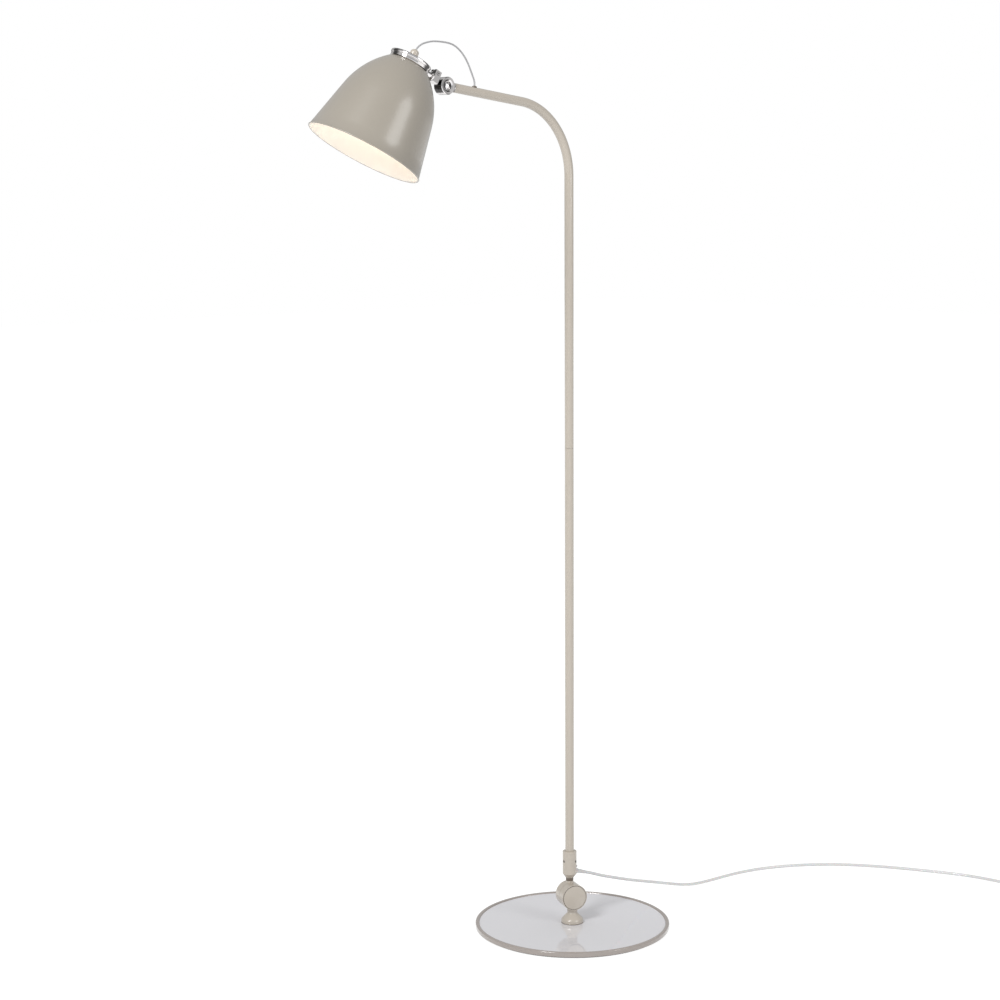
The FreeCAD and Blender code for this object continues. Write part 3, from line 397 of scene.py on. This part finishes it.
plate_outline = soften(in_metres([
    (4.4, 7.0), (PLATE - 6, 7.0), (PLATE - 5, 9.0), (PLATE, 9.0), (PLATE, 1.5), (8.7, 1.5), (8.7, 2.2),
    (4.4, 6.0)]), 1.9 * MM, 6)


def bed_or_rim(place):
    """The bed inside the rim takes the mirror lacquer, all else the rim's darker sand, a painted shade."""
    return ((place[:, 0] < (PLATE - 5.9) * MM) & (place[:, 1] > 6.0 * MM)).astype(int)


lathe("foot_plate", foot, plate_outline, [rim_shade_darkened, bed_lacquer], "base", ["base_plate"], 256, bed_or_rim)
quarter = [(9.5 + 7.0 * math.cos(a), 9.5 + 7.0 * math.sin(a)) for a in np.linspace(0, math.pi / 4, 9)]
cone_outline = soften(in_metres(
    [(6.1, 7.5), (16.5, 7.5)] + quarter + [(8.6, 20.4), (7.3, 21.9), (7.2, 23.5), (6.1, 23.5)]), 0.5 * MM, 3)
lathe("foot_cone_turned", foot, cone_outline, [sand_paint], "base", ["foot_cone"])

# %% [markdown]
# ## The lower knuckle's caps
# Each end of the barrel is closed by a shallow domed cap. The thin dark line round it is painted shadow on
# the cap's lip.

# %% Knuckle caps
CAP = 18.2
CAP_DEEP = 2.95
DOME = 0.35


def painted_seam_shadow(place):
    """The lip that dips into the barrel's recess takes the near-black seam colour: a painted shadow in the
    gap.
    """
    return (place[:, 0] > (CAP - 0.9) * MM).astype(int)


for label, body, face, out in (("front_cap", "base", 10.0, 1), ("rear_cap", "neck", -18.0, -1)):
    dome = []
    for a in np.linspace(0, DOME, 10):
        swell = (math.cos(a) - math.cos(DOME)) / (1 - math.cos(DOME))
        dome.append((CAP * math.sin(a) / math.sin(DOME), face + out * (0.2 + 0.8 * swell)))
    back = face - out * CAP_DEEP
    cap_outline = soften(in_metres([(0, back)] + dome + [(CAP, back)]), 0.5 * MM, 4)
    lathe(label + "_domed", knuckle, cap_outline, [sand_paint, seam_shadow], body, [label], 96,
          painted_seam_shadow)

# %% [markdown]
# ## The pole
# Two steel tubes are joined end to end, and the upper one is bent into the arm. A tube is a circle
# carried along a path: straight, round the bend, straight. At each path point the circle stands
# square to the way onward, and an inner circle closes the open end.


# %% The pole tubes
def ring_tube(name, path, ways, outer, inner, material, body, stands_for, around=64):
    """point = path + radius * (side * cos(angle) + flat * sin(angle)); the outer and the inner
    wall are one closed band."""
    side = np.array([0, 1.0, 0])
    flats = np.cross(ways, side)
    angles = np.linspace(0, 2 * np.pi, around, endpoint=False)
    lip = 0.0004
    rows = [(k, outer) for k in range(len(path))] + [(k, inner) for k in reversed(range(len(path)))]
    points = []
    for k, radius in rows:
        edge = radius - lip if k in (0, len(path) - 1) and radius == outer else radius
        circle = np.cos(angles)[:, None] * side + np.sin(angles)[:, None] * flats[k]
        points.append(path[k] + edge * circle)
    points = np.concatenate(points)
    count = len(rows)
    row, column = np.meshgrid(np.arange(count), np.arange(around), indexing="ij")
    faces = np.stack([row * around + column, row * around + (column + 1) % around,
                      ((row + 1) % count) * around + (column + 1) % around,
                      ((row + 1) % count) * around + column], -1).reshape(-1, 4)
    thing = grid_mesh(name, points, faces, [material])
    thing.data.set_sharp_from_angle(angle=math.radians(35))
    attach(thing, body)
    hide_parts(*stands_for)
    return thing


TUBE = 0.0065
BORE = 0.0053
BEND = 0.104
TURN = math.radians(83.0)
BEND_START = 1.113
JOINT = 0.720
ARM = 0.129
heights = np.array([0.091, 0.0914, 0.3, 0.5, JOINT - 0.0005, JOINT - 0.0001])
low_path = np.stack([np.full(6, pole_at[0]), np.full(6, pole_at[1]), heights], 1)
low_ways = np.tile([0, 0, 1.0], (6, 1))
ring_tube("lower_tube", low_path, low_ways, TUBE, BORE, sand_paint, "pole", ["lower_pole"])
straight = np.array([JOINT + 0.0001, JOINT + 0.0005, 0.9, 1.0, 1.08])
arc = np.linspace(0, TURN, 40)
arm_steps = np.array([0.04, 0.08, ARM - 0.0004, ARM])
arm_way = np.array([-math.sin(TURN), 0, math.cos(TURN)])
bend_end = np.array([
    pole_at[0] + BEND * (math.cos(TURN) - 1), pole_at[1], BEND_START + BEND * math.sin(TURN)])
high_path = np.concatenate([
    np.stack([np.full(5, pole_at[0]), np.full(5, pole_at[1]), straight], 1),
    np.stack([pole_at[0] + BEND * (np.cos(arc) - 1), np.full(40, pole_at[1]),
              BEND_START + BEND * np.sin(arc)], 1),
    bend_end + arm_steps[:, None] * arm_way])
high_ways = np.concatenate([
    np.tile([0, 0, 1.0], (5, 1)), np.stack([-np.sin(arc), np.zeros(40), np.cos(arc)], 1),
    np.tile(arm_way, (4, 1))])
ring_tube("upper_tube", high_path, high_ways, TUBE, BORE, sand_paint, "pole", ["upper_pole"])

# %% [markdown]
# ## The shade
# The bell is spun from thin sheet: a straight skirt, then one long shoulder arc up to the carrier, with a
# small rolled bead at the mouth. Its outside takes a darker copy of the sand, a painted reflection of dark
# surroundings, and its inside the white, chosen by how far each face lies from the outer wall.

# %% Shade shell
MOUTH = 82.0
SLOPE = math.radians(12.6)
SKIRT = 71.0
SHOULDER = 115.5
TOP = 133.8
skirt_r = MOUTH - SKIRT * math.tan(SLOPE)
centre_r = skirt_r - SHOULDER * math.cos(SLOPE)
centre_h = SKIRT - SHOULDER * math.sin(SLOPE)


def bell(radius, top):
    """Skirt and shoulder of one wall, mouth first: the shoulder is an arc about its centre."""
    last = math.asin((top - centre_h) / radius)
    turn_angles = np.linspace(SLOPE, last, 36)
    arc_points = [(centre_r + radius * math.cos(a), centre_h + radius * math.sin(a)) for a in turn_angles]
    shift = (SHOULDER - radius) / math.cos(SLOPE)
    skirt = [(MOUTH - shift - h_ * math.tan(SLOPE), h_) for h_ in (2.0, 20.0, 40.0, 60.0)]
    return skirt + arc_points


outer_wall = bell(SHOULDER, TOP)
inner_wall = bell(SHOULDER - 1.0, TOP - 1.0)
bead = [(MOUTH - 0.2 + 1.0 * math.cos(a), 0.5 + 1.0 * math.sin(a)) for a in np.linspace(-2.6, 1.2, 12)]
shell_outline = np.array(in_metres(bead + outer_wall + [(5.1, TOP), (5.1, TOP - 1.0)] + inner_wall[::-1]))


def inside_or_outside(place):
    """White for faces that lie within the outer wall, below the top; elsewhere the bell's darker sand, a
    painted reflection.
    """
    wall = np.interp(place[:, 1], shell_outline[12:52, 1], shell_outline[12:52, 0])
    return ((place[:, 0] < wall - 0.0006) & (place[:, 1] < (TOP - 0.5) * MM)).astype(int)


lathe("shade_bell", shade, shell_outline, [bell_reflection_darkened, shade_white], "shade", ["shade_shell"], 192,
      inside_or_outside, 50.0)

# %% [markdown]
# ## Carrier, cover and cable cap
# On top of the shade a chrome ring carries the stud. It has a bead near its top and a plain band below. The
# chrome's light and dark bands are a painted reflection that follows how far each face turns from the eye.

# %% Chrome carrier and the cap
C = 28.8
seat_mm = SEAT / MM
tall = CARRIER_TALL / MM
carrier_outline = soften(in_metres([
    (5.1, seat_mm - 1.5), (26.4, seat_mm - 1.5), (C - 0.6, seat_mm), (C - 0.6, seat_mm + 3.1),
    (C, seat_mm + 3.7), (C + 0.7, seat_mm + 4.8), (C + 0.7, seat_mm + 6.6), (C - 0.1, seat_mm + tall),
    (C - 2.2, seat_mm + tall), (C - 2.2, seat_mm + 0.5), (5.1, seat_mm + 0.5)]), 0.7 * MM, 5)
lathe("carrier_ring", shade, carrier_outline, [chrome], "shade", ["shade_carrier"], 160)
lid = seat_mm + tall - 1.0
cover_outline = soften(in_metres([
    (1.7, lid), (C - 2.3, lid), (C - 2.3, lid + 0.9), (9.0, lid + 1.5), (1.7, lid + 1.5)]), 0.4 * MM, 4)
lathe("top_cover_pressed", shade, cover_outline, [chrome], "shade", ["top_cover"], 128)
cap_low = lid + 1.5
cap_outline = soften(in_metres([
    (1.25, cap_low), (6.0, cap_low), (6.0, cap_low + 9.0), (4.6, cap_low + 11.6), (2.4, cap_low + 12.6),
    (1.8, cap_low + 13.0), (1.25, cap_low + 13.0)]), 1.4 * MM, 6)
lathe("cable_cap_turned", shade, cap_outline, [sand_paint], "shade", ["cable_cap"], 64)

# %% [markdown]
# ## Bulb and lampholder
# A small globe bulb hangs in the shade. Its glass is frosted and lit, so it tints the white inside
# with warm light. The holder's skirt has ribs that fingers can grip.

# %% Bulb and holder
socket_top = TOP - 1.1
bulb_top = socket_top - 28.0
globe_low = bulb_top - 75.0
G = 22.4
neck_angle = math.asin(10.9 / G)
globe_turns = np.linspace(0, math.pi - neck_angle, 40)
sphere = [(G * math.sin(a), globe_low + 22.5 - G * math.cos(a)) for a in globe_turns]
bulb_neck = [(8.5, bulb_top - 27.0), (6.7, bulb_top - 25.0), (0, bulb_top - 25.0)]
bulb_outline = np.array(in_metres(sphere + bulb_neck))
lathe("bulb_globe", shade, bulb_outline, [warm_glass], "shade", ["bulb_glass"], 96)
ribs = []
for k in range(12):
    low = socket_top - 47 + 1.6 * k
    ribs += [(13.2, low), (13.2, low + 0.8), (12.8, low + 1.0), (12.8, low + 1.5)]
holder_outline = soften(in_metres(
    [(5.05, socket_top), (5.05, socket_top - 7), (11.0, socket_top - 7), (11.5, socket_top - 50),
     (13.2, socket_top - 50)] + ribs
    + [(13.2, socket_top - 26), (14.1, socket_top - 24), (14.1, socket_top - 20), (12.8, socket_top - 18),
       (12.0, socket_top - 2), (10.5, socket_top)]), 0.3 * MM, 3)
lathe("holder_skirt", shade, holder_outline, [white_moulding], "shade", ["lampholder"], 96)

# %% [markdown]
# ## Cords
# A cord is a smooth NURBS line with a round section. Its control points repeat the resting route:
# out of the sleeve's bush, down to the floor, away to the right and into a neat coil with its plug.
# Each stretch that crosses a joint is a piece of its own, made a mesh in world space and put on no body.


# %% Cord helpers
def spline_curve(name, points, radius, material):
    curve = bpy.data.curves.new(name, "CURVE")
    curve.dimensions = "3D"
    curve.bevel_depth = radius
    curve.bevel_resolution = 5
    curve.resolution_u = 12
    curve.use_fill_caps = True
    spline = curve.splines.new("NURBS")
    spline.points.add(len(points) - 1)
    spline.points.foreach_set("co", np.hstack([np.array(points), np.ones((len(points), 1))]).ravel())
    spline.order_u = 3
    spline.use_endpoint_u = True
    spline.use_smooth = True
    curve.materials.append(material)
    thing = bpy.data.objects.new(name, curve)
    bpy.context.scene.collection.objects.link(thing)
    return thing


def centreline(points):
    """The NURBS line itself, read from a curve with no section."""
    bare = spline_curve("bare_line", points, 0.0, clear_sheath)
    mesh = bpy.data.meshes.new_from_object(bare)
    line = np.array([v.co for v in mesh.vertices])
    bpy.data.objects.remove(bare)
    return line


def cord_piece(name, points, radius, body, node, across=None):
    """A cord that rides on one body, or, where it crosses a joint, a mesh in world space on no body."""
    line = centreline(points)
    thing = spline_curve(name, points, radius, lead_sheath if radius < 0.002 else clear_sheath)
    if across is not None:
        mesh = bpy.data.meshes.new_from_object(thing)
        bpy.data.objects.remove(thing)
        thing = bpy.data.objects.new(name, mesh)
        bpy.context.scene.collection.objects.link(thing)
        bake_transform(thing)
    else:
        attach(thing, body)
    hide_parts(node)
    return thing


# %% The loop over the head joint
LEAD = 0.0012
arm_up = np.array([math.cos(TURN), 0, math.sin(TURN)])
grommet = bend_end + arm_way * (ARM + 0.0152 - 0.054)
grommet_out = grommet + arm_up * 0.0083
y_arm = pole_at[1]
loop_top = (-0.2360, y_arm, 1.2926)
loop_shade = [
    shade.spot((cap_low + 13.0) * MM), shade.spot((cap_low + 16.0) * MM), (-0.2720, 0.0069, 1.2882),
    (-0.2580, 0.0089, 1.2916), (-0.2465, y_arm, 1.2930), loop_top]
cord_piece("loop_lead_shade", loop_shade, LEAD, None, "loop_cord_shade", ("shade", "head"))
loop_arm = [
    loop_top, (-0.2250, y_arm, 1.29218), (-0.2115, y_arm, 1.2890), (-0.1990, y_arm, 1.2805),
    (-0.1890, y_arm, 1.2685), (-0.1815, y_arm, 1.2540), (-0.1772, y_arm, 1.2450),
    grommet + arm_up * 0.0125, grommet_out]
cord_piece("loop_lead_arm", loop_arm, LEAD, None, "loop_cord_arm", ("head", "pole"))

# %% The mains cord to the floor
MAINS = 0.0022
LIE = 0.00225
GLAND_DROP = math.radians(18.0)
gland_way = np.array([math.cos(GLAND_DROP), 0, -math.sin(GLAND_DROP)])
gland = np.array([pole_at[0] + 0.0105, pole_at[1], 0.0815])
neck_hold = (0.104, y_arm, 0.0506)
touch = (0.330, 0.008, LIE)
cord_piece("mains_neck", [gland + gland_way * 0.022, gland + gland_way * 0.036, (0.072, y_arm, 0.061),
                          neck_hold], MAINS, None, "mains_cord_neck", ("pole", "neck"))
cord_piece("mains_drop", [
    neck_hold, (0.136, y_arm, 0.0402), (0.180, y_arm, 0.0282), (0.222, y_arm, 0.0160),
    (0.258, y_arm, 0.0064),
    (0.292, y_arm - 0.0004, LIE), touch], MAINS, None, "mains_cord_drop", ("neck", "base"))

# %% [markdown]
# ## The coil
# The length that isn't needed lies wound up beside the lamp: in at the outside, round in a steady
# spiral, over itself in the half turn at the middle, and out again on top.

# %% The coil and the cord across the floor
PITCH_STEP = 0.0051
TURNS = 3.25
INNER = 0.0184
OUTER = INNER + PITCH_STEP * TURNS
ENTRY = math.radians(199.4)
TUCK = 0.0008
coil_middle = np.array([0.690, -0.338, 0])
PER_TURN = 24


def coil_line():
    """radius falls by a pitch each turn, stays through the climb, then grows again."""
    total = 2 * TURNS + 0.5
    turns = np.linspace(0, total, int(total * PER_TURN) + 1)
    climb = np.clip((turns - TURNS) / 0.5, 0, 1)
    radius = np.where(turns < TURNS, OUTER - PITCH_STEP * turns,
                      np.where(turns > TURNS + 0.5, INNER + PITCH_STEP * (turns - TURNS - 0.5),
                               INNER - TUCK * np.sin(climb * np.pi)))
    height = LIE + PITCH_STEP * (climb - np.sin(2 * np.pi * climb) / (2 * np.pi) * 0.6)
    angle = ENTRY + 2 * np.pi * turns
    return coil_middle + np.stack([radius * np.cos(angle), radius * np.sin(angle), height], 1)


coil = coil_line()
way_in = np.array([-math.sin(ENTRY) * OUTER, math.cos(ENTRY) * OUTER, 0]) - np.array(
    [math.cos(ENTRY), math.sin(ENTRY), 0]) * PITCH_STEP / (2 * np.pi)
way_in /= np.linalg.norm(way_in)
way_out = np.array([-math.sin(ENTRY) * OUTER, math.cos(ENTRY) * OUTER, 0]) + np.array(
    [math.cos(ENTRY), math.sin(ENTRY), 0]) * PITCH_STEP / (2 * np.pi)
way_out /= np.linalg.norm(way_out)
coil_start = coil[0] - way_in * 2 * MAINS
coil_end = coil[-1] + way_out * 2 * MAINS
floor_run = [
    touch, (0.3728, 0.0065, LIE), (0.4165, -0.0037, LIE), (0.4584, -0.0213, LIE), (0.4966, -0.0462, LIE),
    (0.5307, -0.0770, LIE), (0.5596, -0.1137, LIE), (0.5843, -0.1534, LIE), (0.6063, -0.1948, LIE),
    (0.6262, -0.2369, LIE), (0.6379, -0.2703, LIE), coil_start - way_in * 0.026, coil_start]
plug_turn = np.array([way_out[0] * math.cos(math.radians(12)) - way_out[1] * math.sin(math.radians(12)),
                      way_out[0] * math.sin(math.radians(12)) + way_out[1] * math.cos(math.radians(12)), 0])
tail_mid = coil_end + way_out * 0.012
plug_at = tail_mid + plug_turn * 0.012
lying_points = floor_run + list(coil) + [coil_end, tail_mid, plug_at]
lying = cord_piece("mains_floor_and_coil", lying_points, MAINS, "base", "mains_cord_floor")
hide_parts("cord_coil", "mains_cord_tail")

# %% [markdown]
# ## Floor and light
# A plain white sweep and two soft lamps show the finishes as they would look in a bright room. The
# floor shows white to the camera and in reflections, and still keeps the lamp's soft shadow.


# %% Floor, world and lamps
def white_stage():
    bpy.ops.mesh.primitive_plane_add(size=30, location=(0, 0, -0.0002))
    plane = bpy.context.object
    plane.name = "floor"
    material = bpy.data.materials.new("floor_white")
    material.use_nodes = True
    tree = material.node_tree
    tree.nodes.clear()
    out = tree.nodes.new("ShaderNodeOutputMaterial")
    mix = tree.nodes.new("ShaderNodeMixShader")
    matte = tree.nodes.new("ShaderNodeBsdfDiffuse")
    matte.inputs["Color"].default_value = (0.9, 0.9, 0.9, 1)
    bright = tree.nodes.new("ShaderNodeEmission")
    bright.inputs["Strength"].default_value = 1.23
    light_path = tree.nodes.new("ShaderNodeLightPath")
    seen = tree.nodes.new("ShaderNodeMath")
    seen.operation = "MAXIMUM"
    share = tree.nodes.new("ShaderNodeMath")
    share.operation = "MULTIPLY"
    share.inputs[1].default_value = 0.72
    link(tree, light_path.outputs["Is Camera Ray"], seen.inputs[0])
    link(tree, light_path.outputs["Is Glossy Ray"], seen.inputs[1])
    link(tree, seen.outputs[0], share.inputs[0])
    link(tree, share.outputs[0], mix.inputs["Fac"])
    link(tree, matte.outputs[0], mix.inputs[1])
    link(tree, bright.outputs[0], mix.inputs[2])
    link(tree, mix.outputs[0], out.inputs["Surface"])
    plane.data.materials.append(material)


white_stage()
world = bpy.data.worlds.new("studio")
bpy.context.scene.world = world
world.use_nodes = True
world_tree = world.node_tree
sky = world_tree.nodes["Background"]
sky_path = world_tree.nodes.new("ShaderNodeLightPath")
sky_strength = world_tree.nodes.new("ShaderNodeMapRange")
sky_strength.inputs["To Min"].default_value = 0.52
sky_strength.inputs["To Max"].default_value = 1.0
link(world_tree, sky_path.outputs["Is Camera Ray"], sky_strength.inputs["Value"])
link(world_tree, sky_strength.outputs[0], sky.inputs["Strength"])
sky.inputs["Color"].default_value = (1, 1, 1, 1)


def soft_lamp(name, place, target, width, power):
    data = bpy.data.lights.new(name, "AREA")
    data.shape = "RECTANGLE"
    data.size = width
    data.size_y = width * 1.4
    data.energy = power
    lamp = bpy.data.objects.new(name, data)
    bpy.context.scene.collection.objects.link(lamp)
    way = Vector(target) - Vector(place)
    lamp.matrix_world = Matrix.Translation(place) @ way.to_track_quat("-Z", "Y").to_matrix().to_4x4()


soft_lamp("key", (-2.6, -0.6, 2.6), (0, 0, 0.8), 0.9, 62)
soft_lamp("fill", (0.6, -2.8, 1.8), (0, 0, 0.6), 1.2, 22)
bpy.context.scene.view_settings.view_transform = "Standard"
